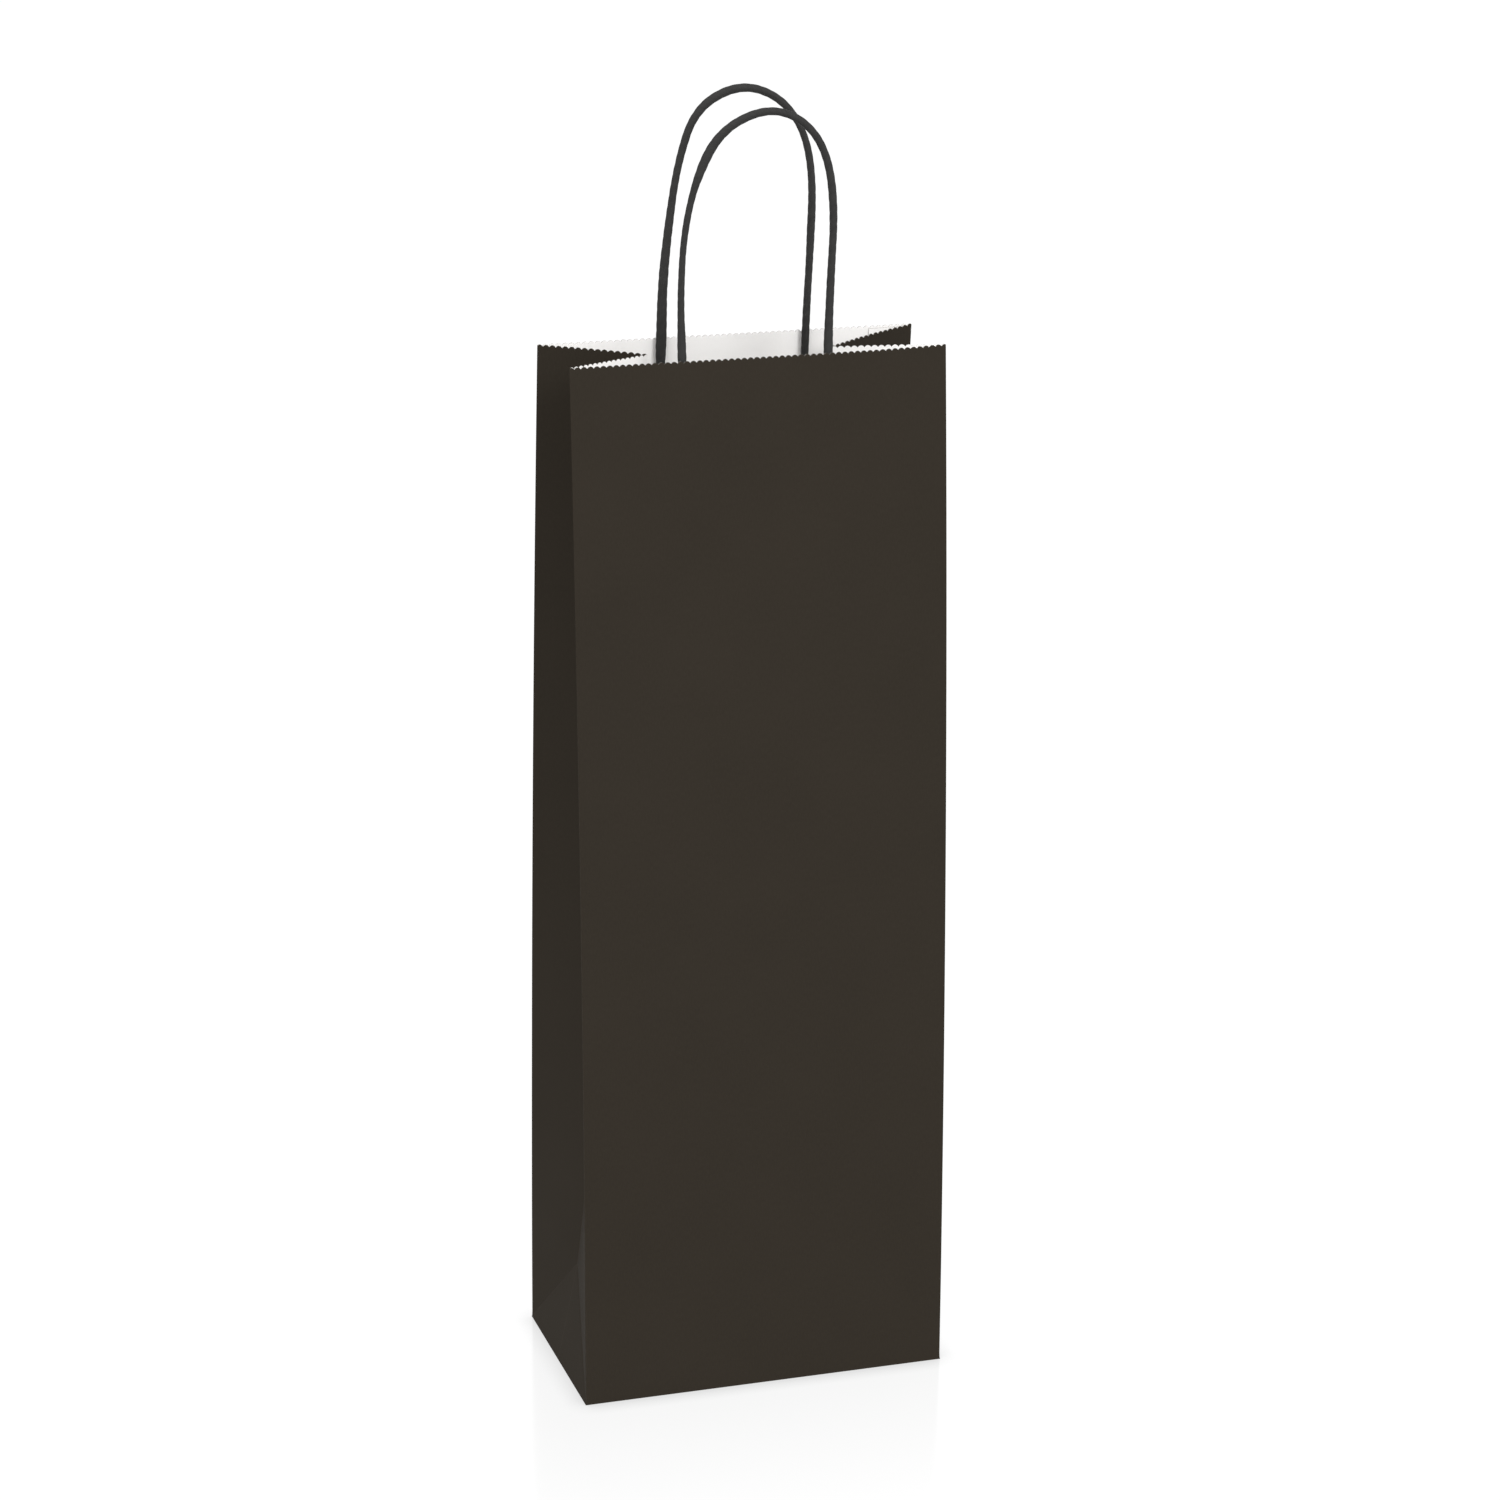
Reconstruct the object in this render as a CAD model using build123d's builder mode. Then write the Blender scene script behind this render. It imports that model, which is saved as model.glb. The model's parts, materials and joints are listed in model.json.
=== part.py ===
from build123d import *
import os
from math import hypot, pi, radians, sqrt, tan

# A one-bottle gift bag: a gusseted paper tube with a folded block bottom and
# two twisted-paper handles glued inside its mouth. Millimetres, Z up. The
# origin is the middle of the base, and the front panel faces -Y.

# ---- Driving dimensions --------------------------------------------------

WIDTH = 140  # front and back panels, side to side
DEPTH = 80  # base, front to back, and the flat width of each gusset
HEIGHT = 390  # length of a panel from its bottom fold to its cut edge
PAPER = 0.25  # one ply of the bag's paper
MOUTH_DEPTH = 40  # front to back across the mouth as the bag stands
CREASE_GAP = 0.4  # kept free along every fold that bends

CORD = 2.9  # diameter of the twisted-paper cord
HINGE_RISE = 3.5  # a handle bends this far above the mouth
STUB_GAP = 2.4  # from that bend down to the end of the glued cord

PATCH_WIDTH = 88
PATCH_HEIGHT = 38
PATCH_DROP = 16  # top of the handle patch, below the mouth
CORD_INSET = 3  # the cord stops this far above the foot of its patch

FLAP_REACH = 50  # bottom flaps, from their fold to their cut edge
SEAM_WIDTH = 15  # glue tab that closes the tube
SEAM_INSET = 1.5  # from the tab to the corner fold
SEAM_MARGIN = 2  # the seam's glue stops this far short of the tab's edges
GLUE = 0.1  # thickness of a glue layer

# Centre lines of the free handle loops: X, and height above the base. The
# first and last points stand on the bend line, so their height is that of
# the bend.
FRONT_LEGS = (-28.2, 25.9)
FRONT_LOOP = [
    (-28.9, 411),
    (-28.4, 434),
    (-23.3, 454),
    (-14.3, 469.5),
    (2, 477.5),
    (16, 472.5),
    (24.8, 460),
    (27.6, 440),
    (26.5, 416),
]
BACK_LEGS = (-25.2, 29.3)
BACK_LOOP = [
    (-25, 410),
    (-23.2, 431),
    (-19.6, 452.5),
    (-12.6, 471.2),
    (2.5, 480.2),
    (17, 475.8),
    (27.2, 464),
    (31, 446),
    (30.5, 419),
]

FRONT = -1
BACK = 1
LEFT = -1
RIGHT = 1

# ---- Worked out from them ------------------------------------------------

cord_radius = CORD / 2
lean_run = (DEPTH - MOUTH_DEPTH) / 2
panel_rise = sqrt(HEIGHT**2 - lean_run**2)
lean_sin = lean_run / HEIGHT
lean_cos = panel_rise / HEIGHT
cord_depth = 2 * PAPER + cord_radius  # from the outer face to the cord's line
patch_bottom = HEIGHT - PATCH_DROP - PATCH_HEIGHT
cord_bottom = patch_bottom + CORD_INSET
stub_top = HEIGHT + HINGE_RISE - STUB_GAP
glued_length = HEIGHT + HINGE_RISE - cord_bottom  # from the bend to the cord's end


def upright(side):
    """Direction that runs up the leaning panel of one side."""
    return Vector(0, -side * lean_sin, lean_cos)


def panel_plane(side, depth=0.0):
    """Plane of a panel: Y runs up it, Z faces out of the bag."""
    outward = Vector(0, side * lean_cos, lean_sin)
    fold = Vector(0, side * DEPTH / 2, 0)
    return Plane(origin=fold - outward * depth, x_dir=(-side, 0, 0), z_dir=outward)


def section_plane(side, height):
    """Plane across a panel at one height: Y runs into the bag, Z up the panel."""
    fold = Vector(0, side * DEPTH / 2, 0)
    return Plane(origin=fold + upright(side) * height, x_dir=(-side, 0, 0), z_dir=upright(side))


def hinge_point(side):
    """Where the middle of a handle's bend line stands."""
    return section_plane(side, HEIGHT + HINGE_RISE).from_local_coords((0, cord_depth, 0))


def finish(solid, name):
    """Name a finished piece and write it."""
    solid.label = name
    export_step(solid, f"parts/{name}.step")


os.makedirs("parts", exist_ok=True)

# ---- Front and back panels -----------------------------------------------

panel_names = {FRONT: "front_panel", BACK: "back_panel"}
panel_foot = 2 * CREASE_GAP  # the panel starts just above its bottom fold

for side, name in panel_names.items():
    with BuildPart() as panel:
        with BuildSketch(panel_plane(side)):
            with Locations((0, (HEIGHT + panel_foot) / 2)):
                Rectangle(WIDTH, HEIGHT - panel_foot)
        extrude(amount=-PAPER)
    finish(panel.part, name)

# ---- Side gussets --------------------------------------------------------
# A gusset is as wide as the base is deep. Its lowest part is a triangle under
# two 45 degree folds, and leans in as far as the leaning panels pull it. Above
# it the two halves fold inwards, twist a little, and meet in a V at the mouth.

fold_inset = PAPER + CREASE_GAP  # from a panel's outer face to the gusset
half_gusset = DEPTH / 2
corner_x = WIDTH / 2 - PAPER / 2
base_y = half_gusset - fold_inset
mouth_y = MOUTH_DEPTH / 2 - fold_inset
middle_y = PAPER
foot_gap = CREASE_GAP * sqrt(2)

knee_inset = half_gusset * sqrt(1 - (1 - lean_sin) ** 2)
knee_z = half_gusset * (1 - lean_sin)
tip_inset = sqrt(half_gusset**2 - (MOUTH_DEPTH / 2) ** 2)
tip_z = knee_z + sqrt((HEIGHT - half_gusset) ** 2 - (tip_inset - knee_inset) ** 2)


def fold_plane(start, end, up):
    """Plane across a sheet along one of its edges: X runs along the edge."""
    along = end - start
    across = along.cross(up)
    return Plane(origin=(start + end) / 2, x_dir=along, z_dir=along.cross(across))


for hand, hand_name in {LEFT: "left", RIGHT: "right"}.items():
    for side, side_name in {FRONT: "front", BACK: "back"}.items():
        foot = Vector(hand * corner_x, side * base_y, foot_gap)
        knee = Vector(hand * (corner_x - knee_inset), side * middle_y, knee_z + foot_gap)
        tip = Vector(hand * (corner_x - tip_inset), side * middle_y, tip_z)
        corner = Vector(hand * corner_x, side * mouth_y, panel_rise)
        rise = (corner + tip - foot - knee) / 2
        with BuildPart() as gusset:
            for start, end in ((foot, knee), (corner, tip)):
                with BuildSketch(fold_plane(start, end, rise)):
                    Rectangle((end - start).length, PAPER)
            loft(ruled=True)
        finish(gusset.part, f"{hand_name}_gusset_{side_name}")

    lean_in = knee_inset / half_gusset
    upright_share = knee_z / half_gusset
    foot_plane = Plane(
        origin=(hand * corner_x, 0, 0),
        x_dir=(0, hand, 0),
        z_dir=(hand * upright_share, 0, lean_in),
    )
    foot_lift = PAPER / 2 * lean_in / upright_share  # keeps its lower corner off the ground
    with BuildPart() as gusset_foot:
        with BuildSketch(foot_plane):
            with BuildLine():
                Polyline((-base_y, foot_lift), (base_y, foot_lift), (0, base_y), close=True)
            make_face()
        extrude(amount=PAPER / 2, both=True)
    finish(gusset_foot.part, f"{hand_name}_gusset_foot")

# ---- Block bottom --------------------------------------------------------
# Two end flaps are folded in first. The back flap is pasted under them and the
# front flap under that, each with its ends folded in at 45 degrees, so that
# the end flaps show as triangles from below.

flap_x = WIDTH / 2 - fold_inset
flap_y = DEPTH / 2 - fold_inset
front_flap_level = 0.0
back_flap_level = front_flap_level + PAPER + GLUE
end_flap_level = back_flap_level + PAPER + GLUE

flap_levels = {
    FRONT: ("front_bottom_flap", front_flap_level),
    BACK: ("back_bottom_flap", back_flap_level),
}
for side, (name, level) in flap_levels.items():
    tip_x = flap_x - FLAP_REACH
    tip_y = side * (flap_y - FLAP_REACH)
    with BuildPart() as flap:
        with BuildSketch(Plane.XY.offset(level)):
            with BuildLine():
                Polyline(
                    (-flap_x, side * flap_y),
                    (flap_x, side * flap_y),
                    (tip_x, tip_y),
                    (-tip_x, tip_y),
                    close=True,
                )
            make_face()
        extrude(amount=PAPER)
    finish(flap.part, name)

end_flap_x = flap_x - FLAP_REACH / 2
for hand, name in {LEFT: "left_end_flap", RIGHT: "right_end_flap"}.items():
    with BuildPart() as end_flap:
        with BuildSketch(Plane.XY.offset(end_flap_level)):
            with Locations((hand * end_flap_x, 0)):
                Rectangle(FLAP_REACH, 2 * flap_y)
        extrude(amount=PAPER)
    finish(end_flap.part, name)

# Paste in the lap of the two long flaps, and between the back flap and the
# end flaps, where the back flap's slanted ends still cover it.
lap_width = 2 * (flap_x - FLAP_REACH)
lap_depth = 2 * (FLAP_REACH - flap_y)
end_paste_width = 0.4 * FLAP_REACH
end_paste_depth = FLAP_REACH / 4
end_paste_x = flap_x - 0.7 * FLAP_REACH
end_paste_y = flap_y - end_paste_depth

with BuildPart() as bottom_paste:
    with BuildSketch(Plane.XY.offset(front_flap_level + PAPER)):
        Rectangle(lap_width, lap_depth)
    extrude(amount=GLUE)
    with BuildSketch(Plane.XY.offset(back_flap_level + PAPER)):
        with Locations((-end_paste_x, end_paste_y), (end_paste_x, end_paste_y)):
            Rectangle(end_paste_width, end_paste_depth)
    extrude(amount=GLUE)
finish(bottom_paste.part, "bottom_paste")

# ---- Side seam -----------------------------------------------------------
# The sheet is closed into a tube by a tab inside the back panel, along its
# right-hand corner.

seam_middle = -(WIDTH / 2 - SEAM_INSET - SEAM_WIDTH / 2)
seam_bottom = 2 * panel_foot
seam_height = HEIGHT - seam_bottom
seam_line_width = SEAM_WIDTH - 2 * SEAM_MARGIN

seam_layers = {
    "side_seam_glue": (PAPER, seam_line_width, GLUE),
    "side_seam_tab": (PAPER + GLUE, SEAM_WIDTH, PAPER),
}
for name, (depth, width, thickness) in seam_layers.items():
    with BuildPart() as seam:
        with BuildSketch(panel_plane(BACK, depth)):
            with Locations((seam_middle, seam_bottom + seam_height / 2)):
                Rectangle(width, seam_height)
        extrude(amount=-thickness)
    finish(seam.part, name)

# ---- Handle patches ------------------------------------------------------
# The ends of each cord are glued between two plies of paper inside the mouth.
# The inner ply lies on the panel, and the cover ply is pressed down over the
# cords, with glue in the corners beside them.

handles = {
    FRONT: ("front", FRONT_LEGS, FRONT_LOOP),
    BACK: ("back", BACK_LEGS, BACK_LOOP),
}
ply_face = 2 * PAPER  # depth of the face that the cords are glued to


def leg_spots(side, depth):
    """Both legs of a handle in a section plane, at a depth into the bag."""
    return [(-side * x, depth) for x in handles[side][1]]


def make_patch(side):
    """The two plies of a handle patch, and the glue beside the cords."""
    side_name, legs, _ = handles[side]
    patch_middle = -side * sum(legs) / 2
    cord_spots = leg_spots(side, cord_depth)
    wall_spots = leg_spots(side, ply_face + cord_radius / 2)

    with BuildPart() as patch_ply:
        with BuildSketch(panel_plane(side, PAPER)):
            with Locations((patch_middle, patch_bottom + PATCH_HEIGHT / 2)):
                Rectangle(PATCH_WIDTH, PATCH_HEIGHT)
        extrude(amount=-PAPER)
    finish(patch_ply.part, f"{side_name}_patch_ply")

    with BuildPart() as patch_cover:
        with BuildSketch(section_plane(side, patch_bottom)):
            with Locations((patch_middle, ply_face + PAPER / 2)):
                Rectangle(PATCH_WIDTH, PAPER)
            with Locations(*cord_spots):
                Circle(cord_radius + PAPER)
            with Locations(*wall_spots):
                Rectangle(2 * (cord_radius + PAPER), cord_radius)
            with Locations(*cord_spots):
                Circle(cord_radius, mode=Mode.SUBTRACT)
            with Locations(*wall_spots):
                Rectangle(CORD, cord_radius, mode=Mode.SUBTRACT)
            with Locations((patch_middle, ply_face - PAPER)):
                Rectangle(PATCH_WIDTH, 2 * PAPER, mode=Mode.SUBTRACT)
        extrude(amount=PATCH_HEIGHT)
    finish(patch_cover.part, f"{side_name}_patch_cover")

    with BuildPart() as handle_glue:
        with BuildSketch(section_plane(side, cord_bottom)):
            with Locations(*wall_spots):
                Rectangle(CORD, cord_radius)
            with Locations(*cord_spots):
                Circle(cord_radius, mode=Mode.SUBTRACT)
        extrude(amount=PATCH_HEIGHT - CORD_INSET)
    finish(handle_glue.part, f"{side_name}_handle_glue")


# ---- Handles -------------------------------------------------------------
# Each handle is one cord. Its glued ends run up the inside of the panel to
# just past the mouth, and the free loop above them bends about a line along
# X. The round ends of loop and stub leave room for that bend.

STUB_ROUNDING = 0.9 * cord_radius
ARC_SHARE = 0.45  # of the shorter run beside a corner, taken by its arc


def make_handle_ends(side):
    """The two glued ends of a handle's cord."""
    with BuildPart() as handle_ends:
        with BuildSketch(section_plane(side, cord_bottom)):
            with Locations(*leg_spots(side, cord_depth)):
                Circle(cord_radius)
        extrude(amount=stub_top - cord_bottom)
        fillet(handle_ends.edges().group_by(Axis.Z)[-1], radius=STUB_ROUNDING)
    finish(handle_ends.part, f"{handles[side][0]}_handle_ends")


def make_loop(side):
    """The free loop of a handle: straight runs joined by arcs that touch them."""
    side_name, legs, loop = handles[side]
    hinge = hinge_point(side)
    route = [(legs[0], hinge.Z), *loop, (legs[1], hinge.Z)]
    runs = [hypot(b[0] - a[0], b[1] - a[1]) for a, b in zip(route, route[1:])]
    steps = [Vector(b[0] - a[0], b[1] - a[1]) for a, b in zip(route, route[1:])]
    turns = [a.get_angle(b) for a, b in zip(steps, steps[1:])]
    radii = [
        ARC_SHARE * min(before, after) / tan(radians(turn) / 2)
        for before, after, turn in zip(runs, runs[1:], turns)
    ]

    loop_plane = Plane(origin=(0, hinge.Y, 0), x_dir=(1, 0, 0), z_dir=(0, -1, 0))
    with BuildPart() as handle:
        with BuildLine(loop_plane) as centre_line:
            FilletPolyline(*route, radius=radii)
        loop_line = centre_line.line
        with BuildSketch(Plane(origin=loop_line @ 0, z_dir=loop_line % 0)):
            Circle(cord_radius)
        sweep()
        with Locations(loop_line @ 0, loop_line @ 1):
            Sphere(cord_radius)
    finish(handle.part, f"{side_name}_handle")

    length = sum(edge.length for edge in loop_line.edges())
    section = pi * cord_radius**2
    ball = 4 / 3 * pi * cord_radius**3
    print(f"{side_name} handle bends at y {hinge.Y:.3f}, z {hinge.Z:.3f}")
    print("  runs ", [round(run, 1) for run in runs])
    print("  turns", [round(turn, 1) for turn in turns])
    print("  radii", [round(radius, 1) for radius in radii])
    print(f"  free length {length:.1f}, whole cord {length + 2 * glued_length:.1f}")
    print(f"  volume {handle.part.volume:.1f}, section x length {section * length + ball:.1f}")


for side in (FRONT, BACK):
    make_patch(side)
    make_handle_ends(side)
    make_loop(side)
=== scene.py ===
import json
import math

import bmesh
import bpy
from mathutils import Matrix, Vector, noise


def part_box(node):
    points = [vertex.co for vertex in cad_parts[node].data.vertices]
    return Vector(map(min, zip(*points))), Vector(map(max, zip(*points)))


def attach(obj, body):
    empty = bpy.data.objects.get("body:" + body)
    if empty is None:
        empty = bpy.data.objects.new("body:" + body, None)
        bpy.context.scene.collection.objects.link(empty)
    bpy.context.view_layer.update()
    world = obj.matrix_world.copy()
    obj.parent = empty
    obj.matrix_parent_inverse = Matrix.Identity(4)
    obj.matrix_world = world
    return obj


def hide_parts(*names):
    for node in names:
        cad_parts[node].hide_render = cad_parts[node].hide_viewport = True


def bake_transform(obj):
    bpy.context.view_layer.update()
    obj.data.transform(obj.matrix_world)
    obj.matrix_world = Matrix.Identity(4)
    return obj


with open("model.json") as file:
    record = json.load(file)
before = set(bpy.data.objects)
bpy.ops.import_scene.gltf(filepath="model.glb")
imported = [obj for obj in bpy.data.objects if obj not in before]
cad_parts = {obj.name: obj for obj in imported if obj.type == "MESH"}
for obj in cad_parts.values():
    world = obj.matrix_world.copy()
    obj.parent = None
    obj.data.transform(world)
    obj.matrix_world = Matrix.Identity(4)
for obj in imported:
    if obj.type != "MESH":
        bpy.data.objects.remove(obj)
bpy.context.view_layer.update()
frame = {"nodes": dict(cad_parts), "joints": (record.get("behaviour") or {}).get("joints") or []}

# ---- Sizes, in metres, from the frame --------------------------------------

MM = 0.001
FRONT = -1
BACK = 1
LEFT = -1
RIGHT = 1
SIDE_NAMES = {FRONT: "front", BACK: "back"}
HAND_NAMES = {LEFT: "left", RIGHT: "right"}

joints = {joint["name"]: joint for joint in frame["joints"]}
panel_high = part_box("front_panel")[1]
flap_low, flap_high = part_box("front_bottom_flap")
patch_low, patch_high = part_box("front_patch_ply")
tab_low, tab_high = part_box("side_seam_tab")
end_flap_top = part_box("left_end_flap")[1].z

PAPER = flap_high.z - flap_low.z
HALF_WIDTH = panel_high.x
HALF_DEPTH = -joints["mouth_front"]["pos_m"][1]
MOUTH_HALF = PAPER - panel_high.y
TOP = panel_high.z
LENGTH = math.hypot(TOP, HALF_DEPTH - MOUTH_HALF)
HALF_SHEET = HALF_WIDTH + HALF_DEPTH
HINGE_Y = joints["back_handle_bend"]["pos_m"][1]
HINGE_Z = joints["back_handle_bend"]["pos_m"][2]

# ---- Sizes the frame doesn't give ------------------------------------------

PANEL_BOW = 3.5 * MM  # how far a panel bows out, halfway up
RIPPLE = 0.35 * MM  # unevenness of a panel
RIPPLE_WIDTH = 0.045  # size of its ripples, across and up
RIPPLE_HEIGHT = 0.09
STIFF_SIDE = 0.02  # they fade out over this much, towards the corner folds
STIFF_FOOT = 0.04  # and towards the base
GUSSET_BOW = {FRONT: -0.4 * MM, BACK: 1.3 * MM}  # outwards, halfway across a half gusset
RIGHT_FOLD_SHIFT = Vector((-2.9, -1.5, -0.6)) * MM  # of the right gusset's middle fold, at its top
FRONT_RIGHT_SHIFT = Vector((0.65, 1.5, 0.45)) * MM  # of the mouth's front right corner
BACK_SPREAD = 1.2 * MM  # of the mouth's two back corners, away from each other
SHIFT_FADE = 3  # the corners' shift fades out with this power of the place across
FOLD_RADIUS = 0.9 * MM  # a corner fold is round this far each way
FOLD_STEPS = (-1, -0.5, 0, 0.5, 1)  # places across it, in radii
FOLD_CLEAR = 1.5 * FOLD_RADIUS  # even cells keep this far off it
LIP = 0.65 * MM  # how far a panel turns under the bag, before its flap
FOOT_LAP = 0.8 * MM  # how far a gusset's foot reaches behind the halves above it
FOOT_TUCK = 1.2 * PAPER  # and how far behind them it lies

TEETH = 94  # along the front, and along the back
TOOTH_PITCH = 2 * HALF_SHEET / TEETH
TOOTH_DEPTH = 0.75 * MM
TOOTH_SAMPLES = 6
TOOTH_ROUNDNESS = 0.75
TOOTH_UNEVENNESS = 0.12
RIM_STEP = 0.01 * MM  # points of the edge that lie closer than this are one
TEETH_BAND = 2 * MM  # height of the mesh row that ends in the teeth
CELL = TOOTH_PITCH  # width of the other cells
TALL_CELL = 5 * MM  # and their height

CORD = 2.9 * MM  # nominal thickness
CORD_RADIUS = 1.34 * MM  # of the glued ends
CORD_DEPTH = 2 * PAPER + CORD / 2  # from a panel's outer face to the cord's middle
CORD_RISE = 10 * MM  # a cord keeps to its panel up to this far above the patch
CORD_SIDES = 24
RING_STEP = 0.45 * MM
TWIST_PITCH = 7.5 * MM
TWIST_STARTS = 2
TWIST_GROOVE = 0.07  # depth of the groove, as a share of the radius
TWIST_ROUNDNESS = 0.6
SWELL = 0.03  # slow changes of a cord's thickness, and their length
SWELL_LENGTH = 0.022
LUMP = 0.035  # small lumps on it, their length, and how many stand around it
LUMP_LENGTH = 0.0035
LUMPS_AROUND = 1.2

GLUE = 0.1 * MM
SEAM_MARGIN = 2 * MM
BEAD_RADIUS = 0.4 * MM  # beads of glue beside the cord ends
BEAD_SIDES = 8
BEAD_STEP = 0.8 * MM
BEAD_OFF_CORD = 1.45 * MM
BEAD_PAST_PATCH = 0.6 * MM  # they well up past the patch
BEAD_LUMP = 0.25
BEAD_LUMP_LENGTH = 0.003
CORD_INSET = 3 * MM  # the cord stops this far above the foot of its patch
CORD_TUCK = 1 * MM  # the free cord starts this far below the top of its patch
DRAPE = 2.0 * MM  # a patch cover drapes over this much, each side of a cord
DRAPE_SLACK = 0.12 * MM  # and stands this far off it
DRAPE_STEEPNESS = 2.6
PATCH_CELL_WIDTH = 0.6 * MM
PATCH_CELL_HEIGHT = 1.5 * MM
PATCH_HALF_WIDTH = (patch_high.x - patch_low.x) / 2
PATCH_BOTTOM = patch_low.z * LENGTH / TOP
PATCH_TOP = patch_high.z * LENGTH / TOP

# The handles' routes, X and Z in millimetres: the CAD model's, within 0.6 mm.
FRONT_LEGS = (-28.2, 25.9)
FRONT_LOOP = [
    (-28.8, 411),
    (-27.8, 434),
    (-23.2, 454),
    (-14.6, 469.9),
    (2, 477.2),
    (16, 472.5),
    (24.8, 460),
    (27.6, 440),
    (26.5, 416),
]
BACK_LEGS = (-25.2, 29.3)
BACK_LOOP = [
    (-24.9, 410),
    (-22.7, 431),
    (-19.5, 452.5),
    (-13.1, 471.7),
    (2.5, 479.8),
    (17, 475.8),
    (27.2, 464),
    (31.3, 446),
    (30.5, 419),
]
HANDLES = {FRONT: (FRONT_LEGS, FRONT_LOOP), BACK: (BACK_LEGS, BACK_LOOP)}

# Twisted paper is uneven: its thickness in millimetres, at even steps along each free cord.
THICKNESS = {
    FRONT: (2.7, 3.15, 2.5, 2.35, 2.4, 3.45, 2.95, 2.75, 2.75, 2.95, 2.75, 2.9, 3.4, 2.7),
    BACK: (3.3, 3.9, 3.5, 3.1, 2.7, 2.9, 3.25, 2.9, 2.6, 2.75, 2.95, 2.75, 2.9, 2.7),
}

# ---- Camera ------------------------------------------------------------------

CAMERA_AZIMUTH = math.radians(-17.58)
CAMERA_ELEVATION = math.radians(17.81)
CAMERA_ROLL = math.radians(0.59)
CAMERA_DISTANCE = 1.5561
CAMERA_TARGET = Vector((0.00407, 0, 0.23723))
CAMERA_LENS = 101.38
SENSOR_WIDTH = 36
VIEW_REACH = 20


def make_camera():
    """A camera that looks at its target from in front and above, level but for a small roll."""
    back = Vector((
        math.sin(CAMERA_AZIMUTH) * math.cos(CAMERA_ELEVATION),
        -math.cos(CAMERA_AZIMUTH) * math.cos(CAMERA_ELEVATION),
        math.sin(CAMERA_ELEVATION),
    ))
    level = Vector((0, 0, 1)).cross(back).normalized()
    rise = back.cross(level)
    right = math.cos(CAMERA_ROLL) * level + math.sin(CAMERA_ROLL) * rise
    up = back.cross(right)
    data = bpy.data.cameras.new("camera")
    data.lens = CAMERA_LENS
    data.sensor_width = SENSOR_WIDTH
    data.clip_end = VIEW_REACH
    camera = bpy.data.objects.new("camera", data)
    turn = Matrix((right, up, back)).transposed().to_4x4()
    camera.matrix_world = Matrix.Translation(CAMERA_TARGET + back * CAMERA_DISTANCE) @ turn
    bpy.context.scene.collection.objects.link(camera)
    bpy.context.scene.camera = camera


make_camera()

# ---- Material helpers ----------------------------------------------------------


NOISE_LOW = 0.3  # nearly all of a noise lies between these
NOISE_HIGH = 0.7


class Paint:
    """A Principled material, and short ways to add nodes to it."""

    def __init__(self, name):
        self.material = bpy.data.materials.new(name)
        self.material.use_nodes = True
        self.nodes = self.material.node_tree.nodes
        self.links = self.material.node_tree.links
        self.shader = self.nodes["Principled BSDF"]

    def add(self, kind, **settings):
        node = self.nodes.new(kind)
        for key, value in settings.items():
            setattr(node, key, value)
        return node

    def link(self, source, target):
        self.links.new(source, target)

    def flat(self):
        """Place on the flat sheet, in metres, which stays put as the paper moves."""
        return self.add("ShaderNodeAttribute", attribute_name="flat").outputs["Vector"]

    def object_place(self):
        return self.add("ShaderNodeTexCoord").outputs["Object"]

    def stretched(self, place, scale):
        mapping = self.add("ShaderNodeMapping")
        mapping.inputs["Scale"].default_value = scale
        self.link(place, mapping.inputs["Vector"])
        return mapping.outputs["Vector"]

    def noise(self, place, scale, detail=4.0, roughness=0.55):
        node = self.add("ShaderNodeTexNoise")
        node.inputs["Scale"].default_value = scale
        node.inputs["Detail"].default_value = detail
        node.inputs["Roughness"].default_value = roughness
        self.link(place, node.inputs["Vector"])
        return node.outputs["Fac"]

    def math(self, operation, first, second=None, third=None, clamp=False):
        node = self.add("ShaderNodeMath", operation=operation, use_clamp=clamp)
        for slot, value in zip(node.inputs, (first, second, third)):
            if value is None:
                continue
            if isinstance(value, (int, float)):
                slot.default_value = value
            else:
                self.link(value, slot)
        return node.outputs["Value"]

    def spread(self, value, low, high):
        """Takes the middle of a noise to the range low to high."""
        node = self.add("ShaderNodeMapRange")
        node.inputs["From Min"].default_value = NOISE_LOW
        node.inputs["From Max"].default_value = NOISE_HIGH
        node.inputs["To Min"].default_value = low
        node.inputs["To Max"].default_value = high
        self.link(value, node.inputs["Value"])
        return node.outputs["Result"]

    def mix(self, share, first, second):
        node = self.add("ShaderNodeMix", data_type="RGBA")
        for socket, value in {"Factor": share, "A": first, "B": second}.items():
            slot = node.inputs[socket]
            if isinstance(value, tuple):
                slot.default_value = (*value, 1)
            elif isinstance(value, float):
                slot.default_value = value
            else:
                self.link(value, slot)
        return node.outputs["Result"]

    def bump(self, height, strength, distance, below=None):
        node = self.add("ShaderNodeBump")
        node.inputs["Strength"].default_value = strength
        node.inputs["Distance"].default_value = distance
        self.link(height, node.inputs["Height"])
        if below is not None:
            self.link(below, node.inputs["Normal"])
        return node.outputs["Normal"]

    def finish(self, color, roughness, normal=None, specular=0.5):
        self.link(color, self.shader.inputs["Base Color"])
        self.link(roughness, self.shader.inputs["Roughness"])
        self.shader.inputs["Specular IOR Level"].default_value = specular
        if normal is not None:
            self.link(normal, self.shader.inputs["Normal"])
        return self.material


def near_line(paint, value, line, width):
    """1 on a line of the flat sheet, falling to 0 at width from it."""
    away = paint.math("ABSOLUTE", paint.math("SUBTRACT", value, line))
    return paint.math("SUBTRACT", 1.0, paint.math("DIVIDE", away, width), clamp=True)


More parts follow.
